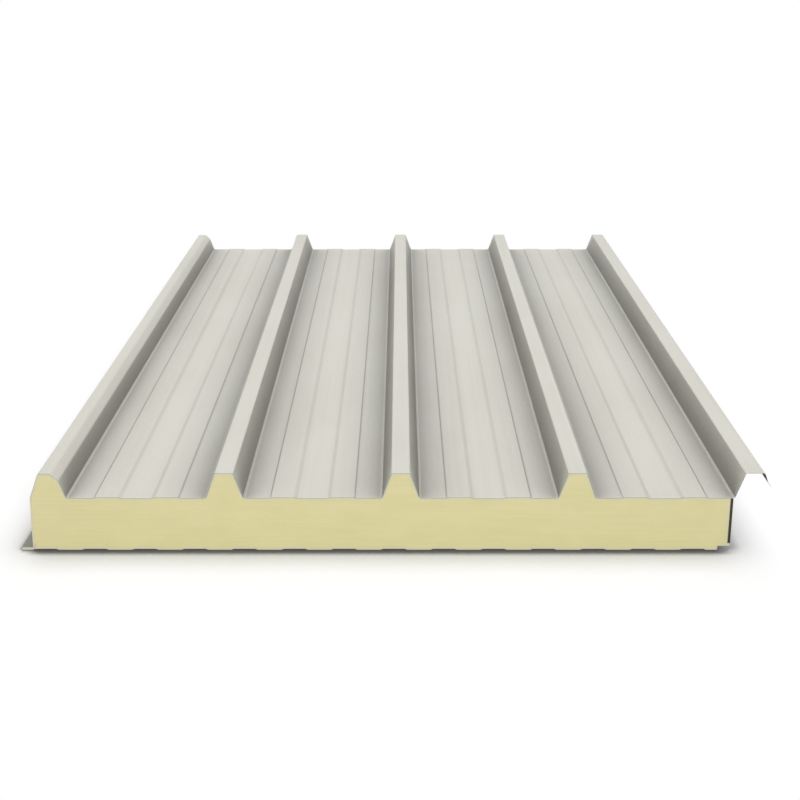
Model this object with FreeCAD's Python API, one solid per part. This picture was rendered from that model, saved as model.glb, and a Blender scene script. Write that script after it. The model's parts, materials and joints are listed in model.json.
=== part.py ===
"""Insulated roof sandwich panel, in millimetres.

Four pieces make the panel, as on the real product:

outer_sheet   roll-formed steel weather sheet: an underlap rib, three full ribs and an open overlap rib,
              with a stiffened pan between each two
foam_core     rigid foam that fills the panel and four of its ribs, foamed in place between the sheets
liner_sheet   roll-formed steel liner with shallow recesses, a tongue folded along its left edge and a
              slot along its right edge that takes the next panel's tongue
side_gasket   sealing strip stuck along the core's right side

Every piece is one cross-section run along the panel's length. X is the panel's width, Y its length and
Z its thickness. The origin is in the middle of the outline that the panel covers, on the plane that it
rests on.
"""
import FreeCAD
import Part

import math
import os
from collections import namedtuple

Vector = FreeCAD.Vector

# Whole panel
panel_length = 1670.0
panel_thickness = 80.0      # from the resting plane to the pan's weather face
rib_pitch = 250.0
rib_count = 5
core_overhang = 27.6        # how far the core reaches past the underlap rib's centre line
core_lean = 1.3             # the core's left side leans in by this much from the liner to the pan
joint_gap = 0.5             # left between this panel's gasket and the next panel's core

# Outer sheet
outer_gauge = 0.5
outer_bend_radius = 2.0     # inside of each bend
rib_height = 38.0
crown_width = 26.0
web_foot_width = 52.4       # between the lower ends of a rib's two webs
foot_chamfer_run = 3.3      # a narrow slope eases each web into the pan
foot_chamfer_rise = 1.2

# Pan between two ribs: two raised bands stiffen it, with a shallow trough between them
stiffener_spacing = 83.3
stiffener_width = 36.5
stiffener_rise = 1.2
stiffener_outer_run = 2.0
stiffener_inner_run = 5.0
trough_dip = 0.3

# Underlap rib, on the left edge, which goes under the next panel's overlap rib
nesting_clearance = 0.5
underlap_flat = 17.1        # what the cut-back shoulder leaves of the crown
shoulder_drop = 10.5
shoulder_bend_radius = 8.0
underlap_setback = 1.0      # the shoulder and its web stand back by this much from the lip that covers them
flank_drop = 1.0            # how far the outer flank runs on below the pan

# Overlap rib, on the right edge, which holds no foam and ends in a lip along the covered web
overlap_flat = 27.1         # width of its crown
lip_bend_radius = 4.0
lip_drop = 13.9
kick_run = 4.3              # the lip's edge is turned out, to slip over the underlap rib
kick_drop = 6.2

# Liner
liner_gauge = 0.5
liner_bend_radius = 2.0
recess_count = 14
recess_width = 34.4
recess_depth = 1.4
recess_step_run = 3.0

# Tongue, on the liner's left edge
tongue_reach = 16.6         # from the core's foot to the nose
tongue_height = 4.6
tongue_nose_radius = 1.2
tongue_land = 17.3          # from the nose to the middle of the first recess's step
anchor_depth = 3.0          # the upper leg runs this far into the foam, then turns up to hold it
anchor_height = 5.4

# Slot for the next panel's tongue, on the liner's right edge
tongue_clearance = 1.4      # above the tongue
tongue_end_gap = 1.4        # in front of its nose
slot_bend_radius = 1.0
slot_lip_height = 4.8

# Gasket
gasket_thickness = 4.0
gasket_head_gap = 0.9       # below the pan's underside

# Places and slopes that follow
cover_width = rib_pitch * (rib_count - 1)
first_rib_x = -cover_width / 2
last_rib_x = cover_width / 2
pan_z = panel_thickness
crown_z = pan_z + rib_height
web_foot_z = pan_z + foot_chamfer_rise
half_crown = crown_width / 2
half_foot = web_foot_width / 2
web_slope = (half_foot - half_crown) / (crown_z - web_foot_z)
web_angle = math.atan2(crown_z - web_foot_z, half_foot - half_crown)
nesting_offset = outer_gauge + nesting_clearance
underlap_crown_z = crown_z - nesting_offset
flank_foot_z = pan_z - flank_drop
core_left_x = first_rib_x - core_overhang
core_right_x = core_left_x + cover_width - joint_gap - gasket_thickness
tongue_nose_x = core_left_x - tongue_reach
slot_root_x = tongue_nose_x + cover_width - tongue_end_gap
slot_ceiling_z = tongue_height + tongue_clearance
gasket_face_x = core_right_x + gasket_thickness
gasket_foot_z = slot_ceiling_z + slot_lip_height
gasket_head_z = pan_z - outer_gauge - gasket_head_gap
lip_top_x = last_rib_x - half_crown + overlap_flat
lip_foot_x = lip_top_x + lip_drop * web_slope
lip_foot_z = crown_z - lip_drop
lip_edge_x = lip_foot_x + kick_run
outline_middle_x = (tongue_nose_x + lip_edge_x) / 2

least_turn = math.radians(0.5)      # a fold that turns less is left out
least_run = 0.001                   # a straight run that is shorter is left out

Fold = namedtuple("Fold", "x z radius")


def core_left_at(z):
    """X of the core's left side at a height."""
    return core_left_x + core_lean * z / panel_thickness


def point(x, z):
    """Point on the section's plane, with the outline's middle moved to the origin."""
    return Vector(x - outline_middle_x, -panel_length / 2, z)


def directions(points):
    """Unit vector along each run of an open path."""
    runs = [end - start for start, end in zip(points, points[1:])]
    return [run.normalize() for run in runs]


def moved_inwards(points, depth):
    """The path moved to its own right, so that every run keeps its direction."""
    along = directions(points)
    inwards = [Vector(run.z, 0, -run.x) for run in along]
    moved = [points[0] + inwards[0] * depth]
    for index in range(1, len(points) - 1):
        both = inwards[index - 1] + inwards[index]
        moved.append(points[index] + both * (depth / (1 + along[index - 1].dot(along[index]))))
    moved.append(points[-1] + inwards[-1] * depth)
    return moved


def sheet_face(folds, gauge, depth):
    """Edges of one face of a folded sheet, from its first fold to its last.

    The folds lie on the outer face, which is on the path's left. Depth is measured from that face into
    the metal: 0 gives the outer face and the gauge gives the inner one. Both faces of a bend share a
    centre, so the metal keeps its gauge there.
    """
    corners = moved_inwards([point(fold.x, fold.z) for fold in folds], depth)
    along = directions(corners)
    lengths = [start.distanceToPoint(end) for start, end in zip(corners, corners[1:])]
    edges = []
    start = corners[0]
    for index in range(1, len(corners) - 1):
        before, after = along[index - 1], along[index]
        turn = before.getAngle(after)
        if turn < least_turn:
            continue
        turns_left = before.cross(after).y < 0
        radius = folds[index].radius + (depth if turns_left else gauge - depth)
        room = min(lengths[index - 1], lengths[index]) / 2
        radius = min(radius, room / math.tan(turn / 2))
        setback = radius * math.tan(turn / 2)
        to_centre = (after - before).normalize()
        arc_start = corners[index] - before * setback
        arc_end = corners[index] + after * setback
        arc_middle = corners[index] + to_centre * (radius / math.cos(turn / 2) - radius)
        if start.distanceToPoint(arc_start) > least_run:
            edges.append(line(start, arc_start))
        edges.append(Part.Arc(arc_start, arc_middle, arc_end).toShape())
        start = arc_end
    edges.append(line(start, corners[-1]))
    return edges


def line(start, end):
    """Straight edge."""
    return Part.LineSegment(start, end).toShape()


def first_point(edges):
    """Where a chain of edges starts."""
    return edges[0].Vertexes[0].Point


def last_point(edges):
    """Where a chain of edges ends."""
    return edges[-1].Vertexes[-1].Point


def face_inside(edges):
    """Face bounded by edges that close up, in any order."""
    return Part.Face(Part.Wire(Part.__sortEdges__(edges)))


def sheet_section(folds, gauge):
    """Cross-section of a folded sheet."""
    outside = sheet_face(folds, gauge, 0)
    inside = sheet_face(folds, gauge, gauge)
    cut_edges = [
        line(first_point(outside), first_point(inside)),
        line(last_point(outside), last_point(inside)),
    ]
    return face_inside(outside + inside + cut_edges)


def run_along_panel(section):
    """Solid that the section makes over the panel's length."""
    return section.extrude(Vector(0, panel_length, 0))


def outer_folds(*places):
    """Folds of the outer sheet at these places."""
    return [Fold(x, z, outer_bend_radius) for x, z in places]


def left_web(centre_x):
    """Chamfer, web and crown edge on a rib's left."""
    return outer_folds(
        (centre_x - half_foot - foot_chamfer_run, pan_z),
        (centre_x - half_foot, web_foot_z),
        (centre_x - half_crown, crown_z),
    )


def right_web(centre_x):
    """Crown edge, web and chamfer on a rib's right."""
    return outer_folds(
        (centre_x + half_crown, crown_z),
        (centre_x + half_foot, web_foot_z),
        (centre_x + half_foot + foot_chamfer_run, pan_z),
    )


def stiffened_pan(centre_x):
    """The two raised bands of a pan, with the trough between them."""
    outer_x = (stiffener_spacing + stiffener_width) / 2
    inner_x = (stiffener_spacing - stiffener_width) / 2
    half_profile = (
        (inner_x - stiffener_inner_run / 2, pan_z - trough_dip),
        (inner_x + stiffener_inner_run / 2, pan_z + stiffener_rise),
        (outer_x - stiffener_outer_run / 2, pan_z + stiffener_rise),
        (outer_x + stiffener_outer_run / 2, pan_z),
    )
    left = outer_folds(*((centre_x - x, z) for x, z in reversed(half_profile)))
    right = outer_folds(*((centre_x + x, z) for x, z in half_profile))
    return left + right


def underlap_rib():
    """Free edge, flank, narrowed crown, cut-back shoulder and right web of the first rib."""
    crown_left_x = first_rib_x - half_crown + nesting_offset * math.tan(web_angle / 2)
    web_x = first_rib_x - underlap_setback
    shoulder_z = underlap_crown_z - shoulder_drop
    shoulder_x = web_x + half_crown + (crown_z - shoulder_z) * web_slope
    flank = outer_folds(
        (core_left_at(flank_foot_z), flank_foot_z),
        (crown_left_x, underlap_crown_z),
    )
    cut_back = [
        Fold(crown_left_x + underlap_flat, underlap_crown_z, shoulder_bend_radius),
        Fold(shoulder_x, shoulder_z, shoulder_bend_radius),
    ]
    return flank + cut_back + right_web(web_x)[1:]


def overlap_rib():
    """Left web, crown, lip and turned-out edge of the last rib."""
    lip_top = [Fold(lip_top_x, crown_z, lip_bend_radius)]
    lip_edge = outer_folds(
        (lip_foot_x, lip_foot_z),
        (lip_edge_x, lip_foot_z - kick_drop),
    )
    return left_web(last_rib_x) + lip_top + lip_edge


def profile_over_core():
    """Folds of the outer sheet from its free edge to the last pan's far band, left to right."""
    folds = underlap_rib()
    for rib in range(1, rib_count):
        rib_x = first_rib_x + rib * rib_pitch
        folds += stiffened_pan(rib_x - rib_pitch / 2)
        if rib < rib_count - 1:
            folds += left_web(rib_x) + right_web(rib_x)
    return folds


def outer_profile():
    """Folds of the whole outer sheet, left to right."""
    return profile_over_core() + overlap_rib()


def slot_profile():
    """Lip, ceiling and root of the slot, right to left."""
    return [
        Fold(gasket_face_x, gasket_foot_z, 0),
        Fold(gasket_face_x, slot_ceiling_z, slot_bend_radius),
        Fold(slot_root_x, slot_ceiling_z, slot_bend_radius),
        Fold(slot_root_x, 0, slot_bend_radius),
    ]


def recess_profile(left_x):
    """One shallow recess of the liner, right to left, with its left step's middle at left_x."""
    right_x = left_x + recess_width
    half_run = recess_step_run / 2
    places = (
        (right_x + half_run, 0),
        (right_x - half_run, recess_depth),
        (left_x + half_run, recess_depth),
        (left_x - half_run, 0),
    )
    return [Fold(x, z, liner_bend_radius) for x, z in places]


def anchor_profile():
    """Turned-up end of the tongue's upper leg."""
    anchor_x = core_left_x + anchor_depth
    return [
        Fold(anchor_x, tongue_height, slot_bend_radius),
        Fold(anchor_x, tongue_height + anchor_height, 0),
    ]


def tongue_profile():
    """Nose of the tongue and the leg that returns into the foam."""
    nose = [Fold(tongue_nose_x, z, tongue_nose_radius) for z in (0, tongue_height)]
    return nose + anchor_profile()


def liner_profile():
    """Folds of the whole liner, right to left, so that its outer face is on the path's left."""
    folds = slot_profile()
    recess_pitch = cover_width / recess_count
    for recess in reversed(range(recess_count)):
        folds += recess_profile(tongue_nose_x + tongue_land + recess * recess_pitch)
    return folds + tongue_profile()


def core_section():
    """Everything between the two sheets, cut off at the core's sides, with the anchor left free."""
    far_edge = Fold(core_right_x, pan_z, 0)
    under_outer_sheet = sheet_face(profile_over_core() + [far_edge], outer_gauge, outer_gauge)
    over_liner = sheet_face(liner_profile(), liner_gauge, liner_gauge)
    leg_start = Fold(core_left_at(tongue_height), tongue_height, 0)
    outside_anchor = sheet_face([leg_start] + anchor_profile(), liner_gauge, 0)
    flank_foot = point(core_left_at(flank_foot_z), flank_foot_z)
    gasket_foot = point(core_right_x, gasket_foot_z)
    cut_edges = [
        line(last_point(under_outer_sheet), gasket_foot),
        line(gasket_foot, first_point(over_liner)),
        line(last_point(over_liner), last_point(outside_anchor)),
        line(first_point(outside_anchor), flank_foot),
        line(flank_foot, first_point(under_outer_sheet)),
    ]
    return face_inside(under_outer_sheet + over_liner + outside_anchor + cut_edges)


def gasket_section():
    """Strip against the core's right side, standing on the slot's lip."""
    corners = [
        point(core_right_x, gasket_foot_z),
        point(gasket_face_x, gasket_foot_z),
        point(gasket_face_x, gasket_head_z),
        point(core_right_x, gasket_head_z),
    ]
    return Part.Face(Part.makePolygon(corners + corners[:1]))


sections = {
    "outer_sheet": sheet_section(outer_profile(), outer_gauge),
    "foam_core": core_section(),
    "liner_sheet": sheet_section(liner_profile(), liner_gauge),
    "side_gasket": gasket_section(),
}

os.makedirs("parts", exist_ok=True)
for name, section in sections.items():
    run_along_panel(section).exportStep("parts/" + name + ".step")
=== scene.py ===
"""Looks of an insulated roof sandwich panel: painted steel sheets, cut foam and a rubber gasket.

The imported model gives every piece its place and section. Each piece here is its CAD node's own
cross-section run along the panel by Geometry Nodes, with finer shading, the soft waves of thin sheet and
a finish for each kind of face. Lengths are in metres, and X is the panel's width, Y its length and Z its
thickness.
"""
import json
import logging
import math
from dataclasses import dataclass, field, replace
from enum import Enum
from typing import Any

import bmesh
import bpy
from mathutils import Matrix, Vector


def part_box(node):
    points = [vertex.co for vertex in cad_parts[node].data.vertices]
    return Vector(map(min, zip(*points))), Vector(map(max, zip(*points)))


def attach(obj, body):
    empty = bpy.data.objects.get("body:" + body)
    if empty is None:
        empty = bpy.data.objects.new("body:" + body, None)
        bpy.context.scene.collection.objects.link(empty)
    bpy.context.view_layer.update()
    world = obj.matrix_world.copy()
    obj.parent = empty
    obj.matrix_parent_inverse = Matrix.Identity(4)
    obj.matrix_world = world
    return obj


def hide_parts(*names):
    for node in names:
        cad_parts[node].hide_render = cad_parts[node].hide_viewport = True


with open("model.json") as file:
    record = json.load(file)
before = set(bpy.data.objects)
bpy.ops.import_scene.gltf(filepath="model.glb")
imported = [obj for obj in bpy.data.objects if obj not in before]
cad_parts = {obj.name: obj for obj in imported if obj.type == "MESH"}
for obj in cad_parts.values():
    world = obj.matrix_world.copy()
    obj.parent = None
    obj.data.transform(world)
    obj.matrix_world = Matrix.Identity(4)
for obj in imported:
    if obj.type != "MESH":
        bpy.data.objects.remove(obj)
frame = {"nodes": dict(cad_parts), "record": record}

MM = 0.001
LOG = logging.getLogger("panel")

Link = Any                              # a node, one of its sockets, or a plain value for an input
Range = tuple[float, float]
XYZ = tuple[float, float, float]


# ---------------------------------------------------------------------------------------------- helpers


def linear(hex_colour: str) -> tuple[float, float, float, float]:
    """Turns an sRGB hex colour into the linear values that Blender's sockets hold.

    Args:
        hex_colour: six hex digits after a hash sign.

    Returns:
        Red, green, blue and an alpha of 1.
    """
    channels = [int(hex_colour[i : i + 2], 16) / 255 for i in (1, 3, 5)]
    red, green, blue = (c / 12.92 if c <= 0.04045 else ((c + 0.055) / 1.055) ** 2.4 for c in channels)
    return red, green, blue, 1.0


def per_metre(cell: XYZ) -> tuple[float, ...]:
    """Turns the size of a pattern's cell along X, Y and Z into the scale that draws it."""
    return tuple(1 / size for size in cell)


def add_node(
    tree: bpy.types.NodeTree, kind: str, inputs: dict[Any, Link] | None = None, **settings: Any
) -> bpy.types.Node:
    """Adds one node to a tree, sets it up and links it.

    Args:
        tree: a material's, the world's or a Geometry Nodes tree.
        kind: the node's Blender type name.
        inputs: for each input's name or number, the value to hold, the socket to link, or the node whose
            first output is linked.
        settings: the node's own properties, such as operation or blend_type.

    Returns:
        The new node.
    """
    node = tree.nodes.new(kind)
    for name, value in settings.items():
        setattr(node, name, value)
    for name, value in (inputs or {}).items():
        if isinstance(value, bpy.types.Node):
            value = value.outputs[0]
        if isinstance(value, bpy.types.NodeSocket):
            tree.links.new(value, node.inputs[name])
        else:
            node.inputs[name].default_value = value
    return node


def new_material(name: str) -> tuple[bpy.types.Material, bpy.types.NodeTree]:
    """Makes an empty node material.

    Args:
        name: the material's name.

    Returns:
        The material and its node tree.
    """
    material = bpy.data.materials.new(name)
    material.use_nodes = True
    material.node_tree.nodes.clear()
    return material, material.node_tree


def seen_directly(tree: bpy.types.NodeTree) -> bpy.types.Node:
    """Adds a test for rays that look at a surface, straight, in a gloss or through something clear.

    Args:
        tree: a material's or the world's tree.

    Returns:
        The node that gives 1 for such a ray, and 0 for one that carries light.
    """
    rays = add_node(tree, "ShaderNodeLightPath").outputs
    looking = {0: rays["Is Camera Ray"], 1: rays["Is Glossy Ray"]}
    looking = add_node(tree, "ShaderNodeMath", looking, operation="MAXIMUM")
    looking = {0: looking, 1: rays["Is Transmission Ray"]}
    return add_node(tree, "ShaderNodeMath", looking, operation="MAXIMUM")


def finish_material(material: bpy.types.Material, surface: dict[str, Link]) -> bpy.types.Material:
    """Adds the surface shader and the output to a material.

    Args:
        material: the material to complete.
        surface: the shader's inputs by name.

    Returns:
        The same material.
    """
    tree = material.node_tree
    shader = add_node(tree, "ShaderNodeBsdfPrincipled", surface)
    add_node(tree, "ShaderNodeOutputMaterial", {"Surface": shader})
    return material


# --------------------------------------------------------------------------------------------- finishes

PATTERN_DETAIL = 2.0                    # levels of finer detail in a noise pattern
PATTERN_MIDDLE = (0.35, 0.65)           # where most of a noise pattern's values lie
FINISH_RAYS = 8                         # rays that feel how open, or how deep, a spot on a piece is

# Sockets of a Mix node for colours, which go by number because a Mix node's names repeat
SHARE, COLOUR_A, COLOUR_B, MIXED = 0, 6, 7, 2


@dataclass(frozen=True)
class CoilCoat:
    """Satin polyester coil coating, rolled on to galvanised steel strip before it is formed.

    It is an even skin with a soft sheen. The strip's rolling leaves very faint streaks along it, and the
    cured paint has a little orange peel. Painted shade darkens the paint in a thin line on either side of
    each pan's middle, at the inner steps of its stiffener, and in the corners between webs and pans.
    """

    name: str
    colour: str
    streak_colour: str
    roughness: float = 0.42
    roughness_spread: float = 0.08      # between the glossiest cloud and the dullest
    shine: float = 0.18
    streak: XYZ = (7 * MM, 900 * MM, 7 * MM)
    streak_range: Range = (0.15, 0.4)   # of streak times cloud, between which the colour changes
    cloud: XYZ = (110 * MM, 300 * MM, 110 * MM)
    peel: XYZ = (3 * MM, 3 * MM, 3 * MM)    # coarser than the real 1 mm, which is too fine to show
    peel_height: float = 0.012 * MM
    # Painted shade: in the corners between webs and pans, the paint's colour is mixed towards this dark
    # grey
    painted_shading_colour: str = "#3c3a34"
    painted_shading_reach: float = 95 * MM        # painted shade keeps to corners with another face within this distance
    painted_shading_fullest: float = 0.74         # the openness at which the painted shade is as dark as it gets
    painted_shading_on_slopes: float = 0.73
    painted_shading_on_flats: float = 0.54        # the painted shade is lighter on level faces than on the webs
    slope_to_flat: Range = (0.5, 0.95)  # the normal's Z on a slope, and on a face that counts as level
    # Painted shade: a thin dark line on each side of a pan's middle, where the stiffener's inner steps fall
    # into shade
    step_shade_line_middle: float = 0.0           # X of the middle of one pan
    step_shade_line_pitch: float = 250 * MM       # from one pan to the next
    step_shade_line_offset: float = 24 * MM       # from a pan's middle to the painted shade line beside it, at the stiffener's inner step
    step_shade_line_width: float = 5 * MM         # from the painted shade line's middle to where it has faded out
    step_shade_line_strength: float = 0.0         # nothing, unless the sheet has such pans

    def build(self) -> bpy.types.Material:
        """Builds the material.

        Returns:
            The finished material.
        """
        material, tree = new_material(self.name)
        place = add_node(tree, "ShaderNodeTexCoord").outputs["Object"]
        patterns = {}
        for name, cell in (("cloud", self.cloud), ("streak", self.streak), ("peel", self.peel)):
            spot = add_node(tree, "ShaderNodeMapping", {"Vector": place, "Scale": per_metre(cell)})
            drawn = {"Vector": spot, "Scale": 1.0, "Detail": PATTERN_DETAIL}
            patterns[name] = add_node(tree, "ShaderNodeTexNoise", drawn)
        # Painted shade in the corners and along the stiffener steps darkens the paint's own colour
        painted_shades = {0: self._painted_shading(tree), 1: self._painted_step_shade_line(tree, place)}
        painted_shade_mix = {
            SHARE: add_node(tree, "ShaderNodeMath", painted_shades, operation="MAXIMUM"),
            COLOUR_A: self._paint_own_colour(tree, patterns["streak"], patterns["cloud"]),
            COLOUR_B: linear(self.painted_shading_colour),
        }
        sheen = {
            "Value": patterns["cloud"],
            "From Min": PATTERN_MIDDLE[0],
            "From Max": PATTERN_MIDDLE[1],
            "To Min": self.roughness - self.roughness_spread / 2,
            "To Max": self.roughness + self.roughness_spread / 2,
        }
        bump = {"Height": patterns["peel"], "Distance": self.peel_height}
        paint = {
            "Base Color": add_node(tree, "ShaderNodeMix", painted_shade_mix, data_type="RGBA").outputs[MIXED],
            "Roughness": add_node(tree, "ShaderNodeMapRange", sheen),
            "Specular IOR Level": self.shine,
            "Normal": add_node(tree, "ShaderNodeBump", bump),
        }
        return finish_material(material, paint)

    def _paint_own_colour(self, tree: bpy.types.NodeTree, streak: Link, cloud: Link) -> Link:
        """Adds the paint's own colour, with faint streaks that come and go in clouds.

        Args:
            tree: the material's tree.
            streak: the pattern of the streaks.
            cloud: the pattern of the clouds.

        Returns:
            The socket that gives the colour.
        """
        uneven = add_node(tree, "ShaderNodeMath", {0: streak, 1: cloud}, operation="MULTIPLY")
        low, high = self.streak_range
        share = add_node(tree, "ShaderNodeMapRange", {"Value": uneven, "From Min": low, "From Max": high})
        tones = {SHARE: share, COLOUR_A: linear(self.colour), COLOUR_B: linear(self.streak_colour)}
        return add_node(tree, "ShaderNodeMix", tones, data_type="RGBA").outputs[MIXED]

    def _painted_shading(self, tree: bpy.types.NodeTree) -> Link:
        """Adds how dark the painted shade is, which is nothing in the open and most in a corner.

        Args:
            tree: the material's tree.

        Returns:
            The node that gives it, from 0 to 1.
        """
        reach = {"Distance": self.painted_shading_reach}
        openness = add_node(tree, "ShaderNodeAmbientOcclusion", reach, samples=FINISH_RAYS, only_local=True)
        facing = add_node(tree, "ShaderNodeNewGeometry").outputs["Normal"]
        slope, flat = self.slope_to_flat
        cling = {
            "Value": add_node(tree, "ShaderNodeSeparateXYZ", {"Vector": facing}).outputs["Z"],
            "From Min": slope,
            "From Max": flat,
            "To Min": self.painted_shading_on_slopes,
            "To Max": self.painted_shading_on_flats,
        }
        thickness = {
            "Value": openness.outputs["AO"],
            "From Min": 1.0,
            "From Max": self.painted_shading_fullest,
            "To Min": 0.0,
            "To Max": add_node(tree, "ShaderNodeMapRange", cling),
        }
        return add_node(tree, "ShaderNodeMapRange", thickness)

    def _painted_step_shade_line(self, tree: bpy.types.NodeTree, place: Link) -> Link:
        """Adds the painted shade lines, one on either side of each pan's middle, at the inner steps of its
        stiffener.

        Args:
            tree: the material's tree.
            place: the socket that gives the place on the piece.

        Returns:
            The node that gives how dark a painted shade line is, from 0 to 1.
        """
        across = add_node(tree, "ShaderNodeSeparateXYZ", {"Vector": place}).outputs["X"]
        aside = add_node(tree, "ShaderNodeMath", {0: across, 1: self.step_shade_line_middle}, operation="SUBTRACT")
        one_pan = {0: aside, 1: self.step_shade_line_pitch / 2, 2: -self.step_shade_line_pitch / 2}
        aside = add_node(tree, "ShaderNodeMath", one_pan, operation="WRAP")
        aside = add_node(tree, "ShaderNodeMath", {0: aside}, operation="ABSOLUTE")
        away = add_node(tree, "ShaderNodeMath", {0: aside, 1: self.step_shade_line_offset}, operation="SUBTRACT")
        darkness = {
            "Value": add_node(tree, "ShaderNodeMath", {0: away}, operation="ABSOLUTE"),
            "From Min": 0.0,
            "From Max": self.step_shade_line_width,
            "To Min": self.step_shade_line_strength,
            "To Max": 0.0,
        }
        return add_node(tree, "ShaderNodeMapRange", darkness, interpolation_type="SMOOTHSTEP")


@dataclass(frozen=True)
class CutSteel:
    """Bare edge of zinc-coated steel sheet where the saw went through, dull grey with fine saw lines."""

    name: str
    colour: str = "#7f7e70"
    bright_colour: str = "#949382"
    metallic: float = 0.4               # dust and dull zinc hide part of the bare metal
    roughness: float = 0.6
    saw_line: XYZ = (1.5 * MM, 1.5 * MM, 0.4 * MM)

    def build(self) -> bpy.types.Material:
        """Builds the material.

        Returns:
            The finished material.
        """
        material, tree = new_material(self.name)
        place = add_node(tree, "ShaderNodeTexCoord").outputs["Object"]
        spot = add_node(tree, "ShaderNodeMapping", {"Vector": place, "Scale": per_metre(self.saw_line)})
        drawn = {"Vector": spot, "Scale": 1.0, "Detail": PATTERN_DETAIL}
        lines = add_node(tree, "ShaderNodeTexNoise", drawn)
        low, high = PATTERN_MIDDLE
        share = add_node(tree, "ShaderNodeMapRange", {"Value": lines, "From Min": low, "From Max": high})
        tones = {SHARE: share, COLOUR_A: linear(self.colour), COLOUR_B: linear(self.bright_colour)}
        metal = {
            "Base Color": add_node(tree, "ShaderNodeMix", tones, data_type="RGBA").outputs[MIXED],
            "Metallic": self.metallic,
            "Roughness": self.roughness,
        }
        return finish_material(material, metal)


@dataclass(frozen=True)
class SawnFoam:
    """Rigid polyurethane foam cut with a band saw: matt and pale yellow, with open cells.

    The foam rose between the sheets, so it is a little uneven in level streaks and soft patches, and it
    is denser and greyer in a thin rim where it met the sheets.
    """

    name: str
    colour: str = "#d5ce9e"
    dark_colour: str = "#d0c897"
    tone_range: Range = (1.2, 1.8)      # of the three patterns' sum, between which the colour changes
    rim_colour: str = "#c8c5af"
    rim_depth: float = 5 * MM
    rim_range: Range = (0.5, 1.0)       # the inner openness at the sheet, and where the rim has ended
    roughness: float = 0.92
    shine: float = 0.2
    streak: XYZ = (120 * MM, 120 * MM, 3.5 * MM)
    mottle: XYZ = (45 * MM, 45 * MM, 25 * MM)
    cell: XYZ = (1.6 * MM, 1.6 * MM, 1.6 * MM)      # coarser than the real 0.4 mm, too fine to show
    cell_height: float = 0.25 * MM

    def build(self) -> bpy.types.Material:
        """Builds the material.

        Returns:
            The finished material.
        """
        material, tree = new_material(self.name)
        place = add_node(tree, "ShaderNodeTexCoord").outputs["Object"]
        patterns = {}
        for name, cell in (("streak", self.streak), ("mottle", self.mottle), ("cell", self.cell)):
            spot = add_node(tree, "ShaderNodeMapping", {"Vector": place, "Scale": per_metre(cell)})
            drawn = {"Vector": spot, "Scale": 1.0, "Detail": PATTERN_DETAIL}
            patterns[name] = add_node(tree, "ShaderNodeTexNoise", drawn)
        coarse = {0: patterns["streak"], 1: patterns["mottle"]}
        coarse = add_node(tree, "ShaderNodeMath", coarse, operation="ADD")
        uneven = add_node(tree, "ShaderNodeMath", {0: coarse, 1: patterns["cell"]}, operation="ADD")
        low, high = self.tone_range
        share = add_node(tree, "ShaderNodeMapRange", {"Value": uneven, "From Min": low, "From Max": high})
        tones = {SHARE: share, COLOUR_A: linear(self.colour), COLOUR_B: linear(self.dark_colour)}
        inner = add_node(tree, "ShaderNodeMix", tones, data_type="RGBA").outputs[MIXED]

        within = {"samples": FINISH_RAYS, "inside": True, "only_local": True}
        depth = add_node(tree, "ShaderNodeAmbientOcclusion", {"Distance": self.rim_depth}, **within)
        at_sheet, past_rim = self.rim_range
        rim = {
            "Value": depth.outputs["AO"],
            "From Min": at_sheet,
            "From Max": past_rim,
            "To Min": 1.0,
            "To Max": 0.0,
        }
        rim = add_node(tree, "ShaderNodeMapRange", rim)
        edged = {SHARE: rim, COLOUR_A: inner, COLOUR_B: linear(self.rim_colour)}
        bump = {"Height": patterns["cell"], "Distance": self.cell_height}
        foam = {
            "Base Color": add_node(tree, "ShaderNodeMix", edged, data_type="RGBA").outputs[MIXED],
            "Roughness": self.roughness,
            "Specular IOR Level": self.shine,
            "Normal": add_node(tree, "ShaderNodeBump", bump),
        }
        return finish_material(material, foam)


@dataclass(frozen=True)
class FoamSkin:
    """Skin of rigid foam that rose against the side moulds: denser, smoother and deeper in colour."""

    name: str
    colour: str = "#dad2a1"
    dark_colour: str = "#cdc18a"
    roughness: float = 0.6
    flow: XYZ = (40 * MM, 60 * MM, 14 * MM)
    flow_detail: float = 5.0            # levels of finer detail, down to the foam's small bubbles
    flow_height: float = 0.5 * MM

    def build(self) -> bpy.types.Material:
        """Builds the material.

        Returns:
            The finished material.
        """
        material, tree = new_material(self.name)
        place = add_node(tree, "ShaderNodeTexCoord").outputs["Object"]
        spot = add_node(tree, "ShaderNodeMapping", {"Vector": place, "Scale": per_metre(self.flow)})
        drawn = {"Vector": spot, "Scale": 1.0, "Detail": self.flow_detail}
        flow = add_node(tree, "ShaderNodeTexNoise", drawn)
        low, high = PATTERN_MIDDLE
        share = add_node(tree, "ShaderNodeMapRange", {"Value": flow, "From Min": low, "From Max": high})
        tones = {SHARE: share, COLOUR_A: linear(self.colour), COLOUR_B: linear(self.dark_colour)}
        skin = {
            "Base Color": add_node(tree, "ShaderNodeMix", tones, data_type="RGBA").outputs[MIXED],
            "Roughness": self.roughness,
            "Normal": add_node(tree, "ShaderNodeBump", {"Height": flow, "Distance": self.flow_height}),
        }
        return finish_material(material, skin)


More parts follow.
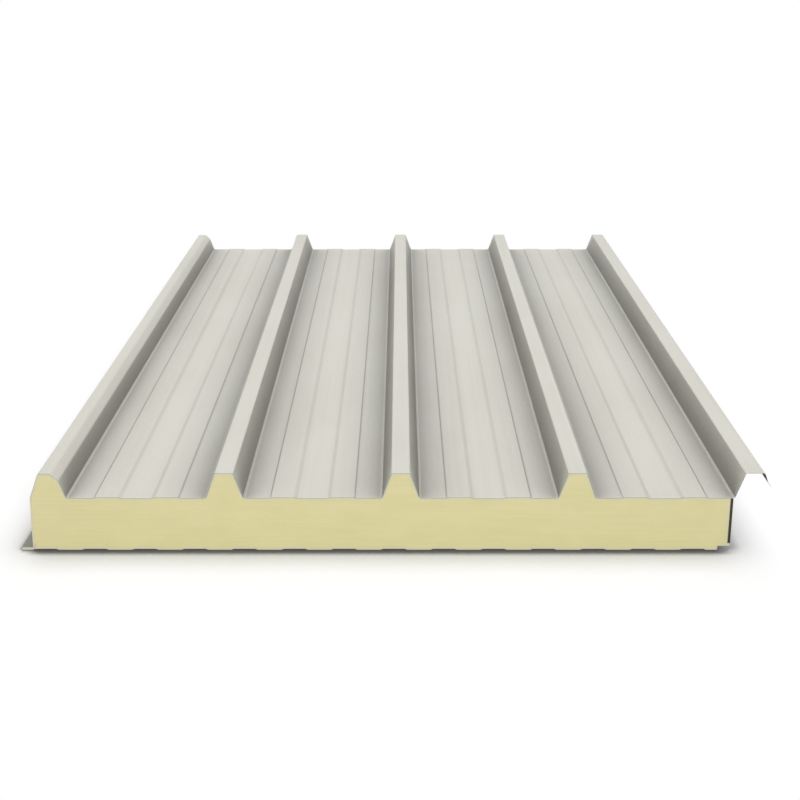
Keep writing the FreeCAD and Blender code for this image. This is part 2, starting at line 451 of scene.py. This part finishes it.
@dataclass(frozen=True)
class FoamRubber:
    """Closed-cell foam rubber sealing strip, nearly black, matt and faintly pebbled."""

    name: str
    colour: str = "#2c2a12"
    pale_colour: str = "#3b381b"
    roughness: float = 0.85
    pebble: XYZ = (1.5 * MM, 1.5 * MM, 1.5 * MM)    # coarser than the real 0.5 mm, too fine to show
    pebble_height: float = 0.1 * MM

    def build(self) -> bpy.types.Material:
        """Builds the material.

        Returns:
            The finished material.
        """
        material, tree = new_material(self.name)
        place = add_node(tree, "ShaderNodeTexCoord").outputs["Object"]
        spot = add_node(tree, "ShaderNodeMapping", {"Vector": place, "Scale": per_metre(self.pebble)})
        drawn = {"Vector": spot, "Scale": 1.0, "Detail": PATTERN_DETAIL}
        pebbles = add_node(tree, "ShaderNodeTexNoise", drawn)
        low, high = PATTERN_MIDDLE
        share = add_node(tree, "ShaderNodeMapRange", {"Value": pebbles, "From Min": low, "From Max": high})
        tones = {SHARE: share, COLOUR_A: linear(self.colour), COLOUR_B: linear(self.pale_colour)}
        rubber = {
            "Base Color": add_node(tree, "ShaderNodeMix", tones, data_type="RGBA").outputs[MIXED],
            "Roughness": self.roughness,
            "Normal": add_node(tree, "ShaderNodeBump", {"Height": pebbles, "Distance": self.pebble_height}),
        }
        return finish_material(material, rubber)


# ------------------------------------------------------------------------------- the run along the panel

SHARP_CORNER = 40.0             # degrees; a bend's facets meet at less, and cut edges at more
CUT_FACING = 0.7                # a face is a cut end where its normal has more of Y than this
WAVE_DETAIL = 1.0               # levels of finer detail in the waves
MERGE_DISTANCE = MM / 1000      # a CAD mesh is loose triangles, and corners this close are one
END_DEPTH = MM / 10             # corners this close to the front lie on the cut end


class Face(Enum):
    """Kinds of face on a piece that is run along the panel."""

    OUTSIDE = "Outside Finish"
    UNDERSIDE = "Underside Finish"
    CUT_END = "Cut End Finish"


@dataclass
class PanelRun:
    """Geometry Nodes tree that runs a cross-section along the panel and dresses its faces.

    The section comes in as a closed chain of edges in the XY plane, with its height on -Y. Thin sheet
    can be given soft waves, which fade out towards the cut ends and stop at a height.
    """

    name: str = "run_along_panel"
    sockets: dict[str, str] = field(default_factory=dict)
    tree: bpy.types.NodeTree | None = None

    def build(self) -> "PanelRun":
        """Builds the tree.

        Returns:
            The same object, ready to be put on pieces.
        """
        self.tree = bpy.data.node_groups.new(self.name, "GeometryNodeTree")
        self._declare_sockets()
        given = dict(add_node(self.tree, "NodeGroupInput").outputs.items())
        solid = self._solid(given)
        height = self._wave_height(given)
        lift = add_node(self.tree, "ShaderNodeCombineXYZ", {"Z": height})
        waved = add_node(self.tree, "GeometryNodeSetPosition", {"Geometry": solid, "Offset": lift})
        dressed = self._dressed(self._shaded(waved), given)
        add_node(self.tree, "NodeGroupOutput", {0: dressed})
        return self

    def put_on(self, piece: bpy.types.Object, values: dict[str, Any]) -> None:
        """Puts the tree on a piece as a modifier.

        Args:
            piece: the object that holds the section.
            values: the value of each named input.
        """
        modifier = piece.modifiers.new(self.name, "NODES")
        modifier.node_group = self.tree
        for name, value in values.items():
            modifier[self.sockets[name]] = value

    def _declare_sockets(self) -> None:
        """Names the tree's inputs and its output, and keeps each input's identifier."""
        lengths = ("Start", "End", "Wave Height", "Wave Width", "Wave Length", "Wave Ceiling", "Wave Fade")
        kinds = {"Section": "NodeSocketGeometry"}
        kinds.update({name: "NodeSocketFloat" for name in lengths})
        kinds.update({name: "NodeSocketInt" for name in ("Rows", "Seed")})
        kinds.update({face.value: "NodeSocketMaterial" for face in Face})
        for name, kind in kinds.items():
            socket = self.tree.interface.new_socket(name, in_out="INPUT", socket_type=kind)
            self.sockets[name] = socket.identifier
        self.tree.interface.new_socket("Piece", in_out="OUTPUT", socket_type="NodeSocketGeometry")

    def _solid(self, given: dict[str, Link]) -> Link:
        """Runs the section from the start to the end and closes both cut ends.

        Args:
            given: the tree's inputs by name.

        Returns:
            The node that gives the solid.
        """
        tree = self.tree
        start = add_node(tree, "ShaderNodeCombineXYZ", {"Y": given["Start"]})
        end = add_node(tree, "ShaderNodeCombineXYZ", {"Y": given["End"]})
        line = add_node(tree, "GeometryNodeCurvePrimitiveLine", {"Start": start, "End": end})
        rows = add_node(tree, "GeometryNodeResampleCurve", {"Curve": line, "Count": given["Rows"]})
        section = add_node(tree, "GeometryNodeMeshToCurve", {"Mesh": given["Section"]})
        run = {"Curve": rows, "Profile Curve": section, "Fill Caps": True}
        return add_node(tree, "GeometryNodeCurveToMesh", run)

    def _wave_height(self, given: dict[str, Link]) -> Link:
        """Adds how far the waves lift a point: nothing at the cut ends or above the ceiling.

        Args:
            given: the tree's inputs by name.

        Returns:
            The node that gives the lift.
        """
        tree = self.tree
        place = add_node(tree, "GeometryNodeInputPosition")
        place = add_node(tree, "ShaderNodeSeparateXYZ", {"Vector": place}).outputs
        across = {0: place["X"], 1: given["Wave Width"]}
        along = {0: place["Y"], 1: given["Wave Length"]}
        pattern = {
            "X": add_node(tree, "ShaderNodeMath", across, operation="DIVIDE"),
            "Y": add_node(tree, "ShaderNodeMath", along, operation="DIVIDE"),
            "Z": given["Seed"],
        }
        pattern = add_node(tree, "ShaderNodeCombineXYZ", pattern)
        drawn = {"Vector": pattern, "Scale": 1.0, "Detail": WAVE_DETAIL}
        wave = add_node(tree, "ShaderNodeTexNoise", drawn)

        from_start = {0: place["Y"], 1: given["Start"]}
        to_end = {0: given["End"], 1: place["Y"]}
        inward = {
            0: add_node(tree, "ShaderNodeMath", from_start, operation="SUBTRACT"),
            1: add_node(tree, "ShaderNodeMath", to_end, operation="SUBTRACT"),
        }
        fade = {
            "Value": add_node(tree, "ShaderNodeMath", inward, operation="MINIMUM"),
            "From Min": 0.0,
            "From Max": given["Wave Fade"],
            "To Min": 0.0,
            "To Max": given["Wave Height"],
        }
        below = {0: place["Z"], 1: given["Wave Ceiling"]}
        most = {
            0: add_node(tree, "ShaderNodeMapRange", fade),
            1: add_node(tree, "ShaderNodeMath", below, operation="LESS_THAN"),
        }
        height = {0: wave, 1: add_node(tree, "ShaderNodeMath", most, operation="MULTIPLY")}
        return add_node(tree, "ShaderNodeMath", height, operation="MULTIPLY")

    def _shaded(self, solid: Link) -> Link:
        """Shades the bends smooth and keeps the cut edges crisp.

        Args:
            solid: the node that gives the solid.

        Returns:
            The node that gives the shaded solid.
        """
        tree = self.tree
        smooth = add_node(tree, "GeometryNodeSetShadeSmooth", {"Geometry": solid}, domain="FACE")
        corner = {0: add_node(tree, "GeometryNodeInputMeshEdgeAngle"), 1: math.radians(SHARP_CORNER)}
        sharp = add_node(tree, "ShaderNodeMath", corner, operation="GREATER_THAN")
        crisp = {"Geometry": smooth, "Selection": sharp, "Shade Smooth": False}
        return add_node(tree, "GeometryNodeSetShadeSmooth", crisp, domain="EDGE")

    def _dressed(self, solid: Link, given: dict[str, Link]) -> Link:
        """Gives each kind of face its finish.

        Args:
            solid: the node that gives the shaded solid.
            given: the tree's inputs by name.

        Returns:
            The node that gives the dressed solid.
        """
        tree = self.tree
        normal = add_node(tree, "GeometryNodeInputNormal")
        normal = add_node(tree, "ShaderNodeSeparateXYZ", {"Vector": normal}).outputs
        endwise = add_node(tree, "ShaderNodeMath", {0: normal["Y"]}, operation="ABSOLUTE")
        is_cut = add_node(tree, "ShaderNodeMath", {0: endwise, 1: CUT_FACING}, operation="GREATER_THAN")
        is_under = add_node(tree, "ShaderNodeMath", {0: normal["Z"], 1: 0.0}, operation="LESS_THAN")
        dressed = add_node(tree, "GeometryNodeRealizeInstances", {"Geometry": solid})
        for face, where in ((Face.OUTSIDE, True), (Face.UNDERSIDE, is_under), (Face.CUT_END, is_cut)):
            dress = {"Geometry": dressed, "Selection": where, "Material": given[face.value]}
            dressed = add_node(tree, "GeometryNodeSetMaterial", dress)
        return dressed


def section_outline(node: bpy.types.Object) -> list[tuple[float, float]]:
    """Reads the outline of a CAD node's cut end.

    Args:
        node: a CAD node whose section is the same all along Y.

    Returns:
        X and Z of the outline's points in order, clockwise as seen along +Y.
    """
    shape = bmesh.new()
    shape.from_mesh(node.data)
    bmesh.ops.remove_doubles(shape, verts=shape.verts, dist=MERGE_DISTANCE)
    front = min(vertex.co.y for vertex in shape.verts)
    on_front = {vertex for vertex in shape.verts if vertex.co.y < front + END_DEPTH}
    rim = [
        edge
        for edge in shape.edges
        if on_front.issuperset(edge.verts)
        and sum(on_front.issuperset(face.verts) for face in edge.link_faces) == 1
    ]
    neighbours: dict[bmesh.types.BMVert, list[bmesh.types.BMVert]] = {}
    for edge in rim:
        first, second = edge.verts
        neighbours.setdefault(first, []).append(second)
        neighbours.setdefault(second, []).append(first)
    before, here = None, rim[0].verts[0]
    outline = []
    while not outline or here is not rim[0].verts[0]:
        outline.append((here.co.x, here.co.z))
        first, second = neighbours[here]
        before, here = here, (second if first is before else first)
    shape.free()
    doubled_area = sum(a[0] * b[1] - b[0] * a[1] for a, b in zip(outline, outline[1:] + outline[:1]))
    return outline[::-1] if doubled_area > 0 else outline


@dataclass
class RunPiece:
    """A piece of the panel: its CAD node's section, run along the panel and dressed."""

    node: str
    slot: str                           # the record's material slot of this piece
    finishes: dict[Face, bpy.types.Material]
    rows: int = 2                       # stations from one cut end to the other
    wave_height: float = 0.0
    wave_width: float = 200 * MM
    wave_length: float = 500 * MM
    wave_ceiling: float = 0.0           # nothing above this height has waves
    wave_fade: float = 150 * MM         # from a cut end to where the waves are full
    seed: int = 0

    def make(self, run: PanelRun) -> bpy.types.Object:
        """Builds the piece and lets it stand for its CAD node.

        Args:
            run: the tree that runs a section along the panel.

        Returns:
            The finished object.
        """
        low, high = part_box(self.node)
        outline = section_outline(frame["nodes"][self.node])
        mesh = bpy.data.meshes.new(self.node + "_section")
        count = len(outline)
        edges = [(index, (index + 1) % count) for index in range(count)]
        mesh.from_pydata([(x, -z, 0.0) for x, z in outline], edges, [])
        piece = bpy.data.objects.new(self.node + "_dressed", mesh)
        bpy.context.scene.collection.objects.link(piece)
        values = {
            "Start": low.y,
            "End": high.y,
            "Rows": self.rows,
            "Wave Height": self.wave_height,
            "Wave Width": self.wave_width,
            "Wave Length": self.wave_length,
            "Wave Ceiling": self.wave_ceiling,
            "Wave Fade": self.wave_fade,
            "Seed": self.seed,
        }
        values.update({face.value: self.finishes[face] for face in Face})
        run.put_on(piece, values)
        weighted = piece.modifiers.new("weighted_normals", "WEIGHTED_NORMAL")
        weighted.keep_sharp = True
        self._bake(piece)
        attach(piece, "root")
        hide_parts(self.node)
        return piece

    def _bake(self, piece: bpy.types.Object) -> None:
        """Turns the modifiers' result into the piece's own mesh.

        Args:
            piece: the object to bake.
        """
        graph = bpy.context.evaluated_depsgraph_get()
        mesh = bpy.data.meshes.new_from_object(
            piece.evaluated_get(graph), preserve_all_data_layers=True, depsgraph=graph
        )
        mesh.name = piece.name
        piece.modifiers.clear()
        piece.data = mesh


# --------------------------------------------------------------------------------------------- the panel


def middle_rib_x() -> float:
    """Reads where the middle rib stands along X from the seat on its crown."""
    seats = {mount["name"]: mount["pos_m"] for mount in frame["record"]["mounts"]}
    return seats["crown_seat_middle"][0]


@dataclass
class Panel:
    """The four pieces of the panel and what each is finished with."""

    # The weather sheet's paint has the painted shade lines along its pans' stiffener steps
    weather_paint: CoilCoat = CoilCoat("weather_coil_coat", "#e1dfd4", "#dddacf", step_shade_line_strength=0.16)
    liner_paint: CoilCoat = CoilCoat("liner_coil_coat", "#e1dfd4", "#dddacf")
    backing_coat: CoilCoat = CoilCoat("backing_coat", "#8d8c84", "#858479", roughness=0.5)
    cut_steel: CutSteel = CutSteel("cut_steel")
    sawn_foam: SawnFoam = SawnFoam("sawn_foam")
    foam_skin: FoamSkin = FoamSkin("foam_skin")
    rubber: FoamRubber = FoamRubber("foam_rubber")
    rib_pitch: float = 250 * MM
    pan_wave_height: float = 0.35 * MM
    pan_wave_rows: int = 56
    pan_wave_seed: int = 7
    web_start: float = 82.0 * MM        # the pans' waves stop at this height, where the webs rise

    def make(self) -> list[bpy.types.Object]:
        """Builds every piece.

        Returns:
            The dressed pieces.
        """
        run = PanelRun().build()
        steel_end = self.cut_steel.build()
        weather = replace(self.weather_paint, step_shade_line_middle=middle_rib_x() + self.rib_pitch / 2).build()
        liner = self.liner_paint.build()
        backing = self.backing_coat.build()
        foam_skin = self.foam_skin.build()
        foam_end = self.sawn_foam.build()
        rubber = self.rubber.build()
        outer_sheet = RunPiece(
            "outer_sheet",
            "outer_paint",
            {Face.OUTSIDE: weather, Face.UNDERSIDE: backing, Face.CUT_END: steel_end},
            rows=self.pan_wave_rows,
            wave_height=self.pan_wave_height,
            wave_ceiling=self.web_start,
            seed=self.pan_wave_seed,
        )
        foam_core = RunPiece(
            "foam_core",
            "foam",
            {Face.OUTSIDE: foam_skin, Face.UNDERSIDE: foam_skin, Face.CUT_END: foam_end},
        )
        liner_sheet = RunPiece(
            "liner_sheet",
            "liner_paint",
            {Face.OUTSIDE: backing, Face.UNDERSIDE: liner, Face.CUT_END: steel_end},
        )
        side_gasket = RunPiece("side_gasket", "gasket_rubber", {face: rubber for face in Face})
        return [piece.make(run) for piece in (outer_sheet, foam_core, liner_sheet, side_gasket)]


# -------------------------------------------------------------------------------------------- the studio

WHITE = linear("#ffffff")
PLAIN_WHITE = 1.0               # the strength at which a white light is seen as plain white
PAPER_RAYS = 4                  # rays that feel how open a spot on the paper is


@dataclass(frozen=True)
class StudioPaper:
    """Matt white background paper, which the camera and glossy surfaces see as plain white.

    Near the panel the paper is lit and takes the panel's shadow, and where it is seen, painted shade
    darkens it further, most of all in a painted dark line where the two meet.
    Away from the panel it fades to plain white, sooner beside it than beyond its ends.
    """

    middle: XYZ
    half_size: XYZ
    name: str = "studio_paper"
    fade: XYZ = (90 * MM, 230 * MM, 1.0)    # how far the fade takes along X and Y; along Z nothing fades
    least_white: float = 0.06           # the share of plain white right beside the panel
    exposure: float = 1.25              # how much brighter the lit paper is seen than it is
    painted_shade_reach: float = 90 * MM        # how near the panel the painted shade starts to darken the paper
    painted_contact_reach: float = 22 * MM      # the same for the painted dark line where the two meet
    painted_contact_depth: float = 8.5          # how steeply the painted shade deepens towards that line

    def build(self) -> bpy.types.Material:
        """Builds the material.

        Returns:
            The finished material.
        """
        material, tree = new_material(self.name)
        seen = seen_directly(tree)
        lit = add_node(tree, "ShaderNodeBsdfDiffuse", {"Color": self._brightness(tree, seen)})
        plain = add_node(tree, "ShaderNodeEmission", {"Color": WHITE, "Strength": PLAIN_WHITE})
        white = {"Value": self._away(tree), "To Min": self.least_white, "To Max": 1.0}
        share = {0: seen, 1: add_node(tree, "ShaderNodeMapRange", white)}
        share = add_node(tree, "ShaderNodeMath", share, operation="MULTIPLY")
        paper = add_node(tree, "ShaderNodeMixShader", {0: share, 1: lit, 2: plain})
        add_node(tree, "ShaderNodeOutputMaterial", {"Surface": paper})
        return material

    def _brightness(self, tree: bpy.types.NodeTree, seen: Link) -> Link:
        """Adds how bright the lit paper is: plain white for light, and darkened by painted shade where it
        is seen.

        Args:
            tree: the material's tree.
            seen: the test for rays that look at the paper.

        Returns:
            The node that gives the brightness.
        """
        # Painted shade: where it is seen, the paper is darkened near the panel and in a line where the two
        # meet
        nearby = add_node(
            tree, "ShaderNodeAmbientOcclusion", {"Distance": self.painted_shade_reach}, samples=PAPER_RAYS
        )
        close = add_node(
            tree, "ShaderNodeAmbientOcclusion", {"Distance": self.painted_contact_reach}, samples=PAPER_RAYS
        )
        contact = {0: close.outputs["AO"], 1: self.painted_contact_depth}
        shade = {0: nearby.outputs["AO"], 1: add_node(tree, "ShaderNodeMath", contact, operation="POWER")}
        exposed = {0: add_node(tree, "ShaderNodeMath", shade, operation="MULTIPLY"), 1: self.exposure}
        exposed = add_node(tree, "ShaderNodeMath", exposed, operation="MULTIPLY")
        return add_node(tree, "ShaderNodeMapRange", {"Value": seen, "To Min": 1.0, "To Max": exposed})

    def _away(self, tree: bpy.types.NodeTree) -> Link:
        """Adds how far a spot is from the panel, as a share of the way to where the fade is done.

        Args:
            tree: the material's tree.

        Returns:
            The socket that gives the share.
        """
        place = {0: add_node(tree, "ShaderNodeTexCoord").outputs["Object"], 1: self.middle}
        span = {0: add_node(tree, "ShaderNodeVectorMath", place, operation="SUBTRACT")}
        beyond = {0: add_node(tree, "ShaderNodeVectorMath", span, operation="ABSOLUTE"), 1: self.half_size}
        outside = {0: add_node(tree, "ShaderNodeVectorMath", beyond, operation="SUBTRACT")}
        faded = {0: add_node(tree, "ShaderNodeVectorMath", outside, operation="MAXIMUM"), 1: self.fade}
        away = {0: add_node(tree, "ShaderNodeVectorMath", faded, operation="DIVIDE")}
        return add_node(tree, "ShaderNodeVectorMath", away, operation="LENGTH").outputs["Value"]


@dataclass(frozen=True)
class SoftBox:
    """A large soft lamp."""

    name: str
    place: XYZ
    size: tuple[float, float]           # metres
    power: float                        # watts
    aim: XYZ = (0.0, 0.0, 0.1)

    def hang(self) -> None:
        """Hangs the lamp and points it at its aim."""
        light = bpy.data.lights.new(self.name, "AREA")
        light.shape = "RECTANGLE"
        light.size, light.size_y = self.size
        light.energy = self.power
        lamp = bpy.data.objects.new(self.name, light)
        lamp.location = self.place
        lamp.rotation_euler = (Vector(self.aim) - Vector(self.place)).to_track_quat("-Z", "Y").to_euler()
        bpy.context.scene.collection.objects.link(lamp)


@dataclass(frozen=True)
class Studio:
    """Floor, lamps, surroundings and camera."""

    floor_size: float = 30.0
    paper_inset: float = 22 * MM            # how far under the panel's sides the paper starts to fade
    ambient: float = 0.39                   # strength of the light from all round
    overhead: SoftBox = SoftBox("overhead_softbox", place=(0.0, 0.1, 2.6), size=(3.4, 3.4), power=25.0)
    rear: SoftBox = SoftBox("rear_softbox", place=(0.0, 5.0, 3.4), size=(8.0, 2.0), power=75.0)
    front: SoftBox = SoftBox("front_softbox", place=(0.0, -4.2, 1.3), size=(3.0, 1.6), power=70.0)
    camera_ahead: float = 1841.1 * MM       # in front of the front cut end
    camera_above: float = 716.5 * MM        # above the ribs
    camera_aside: float = -1.1 * MM         # from the middle rib
    camera_pitch: float = 18.27             # degrees down
    focal_length: float = 63.0              # millimetres, as the camera wants it
    sensor_width: float = 36.0              # millimetres

    def make(self) -> None:
        """Sets up everything round the panel."""
        self._floor()
        self._surroundings()
        for lamp in (self.overhead, self.rear, self.front):
            lamp.hang()
        self._camera()

    def _floor(self) -> None:
        """Lays the paper under the panel."""
        low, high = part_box("liner_sheet")
        middle, half_size = (low + high) / 2, (high - low) / 2
        half_size.x -= self.paper_inset
        paper = StudioPaper((middle.x, middle.y, 0.0), (half_size.x, half_size.y, 0.0))
        half = self.floor_size / 2
        mesh = bpy.data.meshes.new("floor")
        corners = [(-half, -half, 0.0), (half, -half, 0.0), (half, half, 0.0), (-half, half, 0.0)]
        mesh.from_pydata(corners, [], [(0, 1, 2, 3)])
        mesh.materials.append(paper.build())
        floor = bpy.data.objects.new("floor", mesh)
        bpy.context.scene.collection.objects.link(floor)

    def _surroundings(self) -> None:
        """Lights the panel softly from all round, and shows plain white behind it."""
        world = bpy.data.worlds.new("studio")
        bpy.context.scene.world = world
        world.use_nodes = True
        tree = world.node_tree
        tree.nodes.clear()
        strength = {"Value": seen_directly(tree), "To Min": self.ambient, "To Max": PLAIN_WHITE}
        strength = add_node(tree, "ShaderNodeMapRange", strength)
        light = add_node(tree, "ShaderNodeBackground", {"Color": WHITE, "Strength": strength})
        add_node(tree, "ShaderNodeOutputWorld", {"Surface": light})

    def _camera(self) -> None:
        """Stands the camera in front of the panel, looking down along its ribs."""
        low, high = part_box("outer_sheet")
        data = bpy.data.cameras.new("camera")
        data.lens = self.focal_length
        data.sensor_width = self.sensor_width
        camera = bpy.data.objects.new("camera", data)
        camera.location = (
            middle_rib_x() + self.camera_aside,
            low.y - self.camera_ahead,
            high.z + self.camera_above,
        )
        camera.rotation_euler = (math.radians(90 - self.camera_pitch), 0.0, 0.0)
        bpy.context.scene.collection.objects.link(camera)
        bpy.context.scene.camera = camera


# ------------------------------------------------------------------------------------------------- main


def main() -> None:
    """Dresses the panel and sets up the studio."""
    logging.basicConfig(level=logging.INFO, format="%(name)s: %(message)s")
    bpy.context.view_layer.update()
    bpy.context.scene.view_settings.view_transform = "Standard"
    for piece in Panel().make():
        LOG.info("%s: %d faces", piece.name, len(piece.data.polygons))
    Studio().make()


if __name__ == "__main__":
    main()
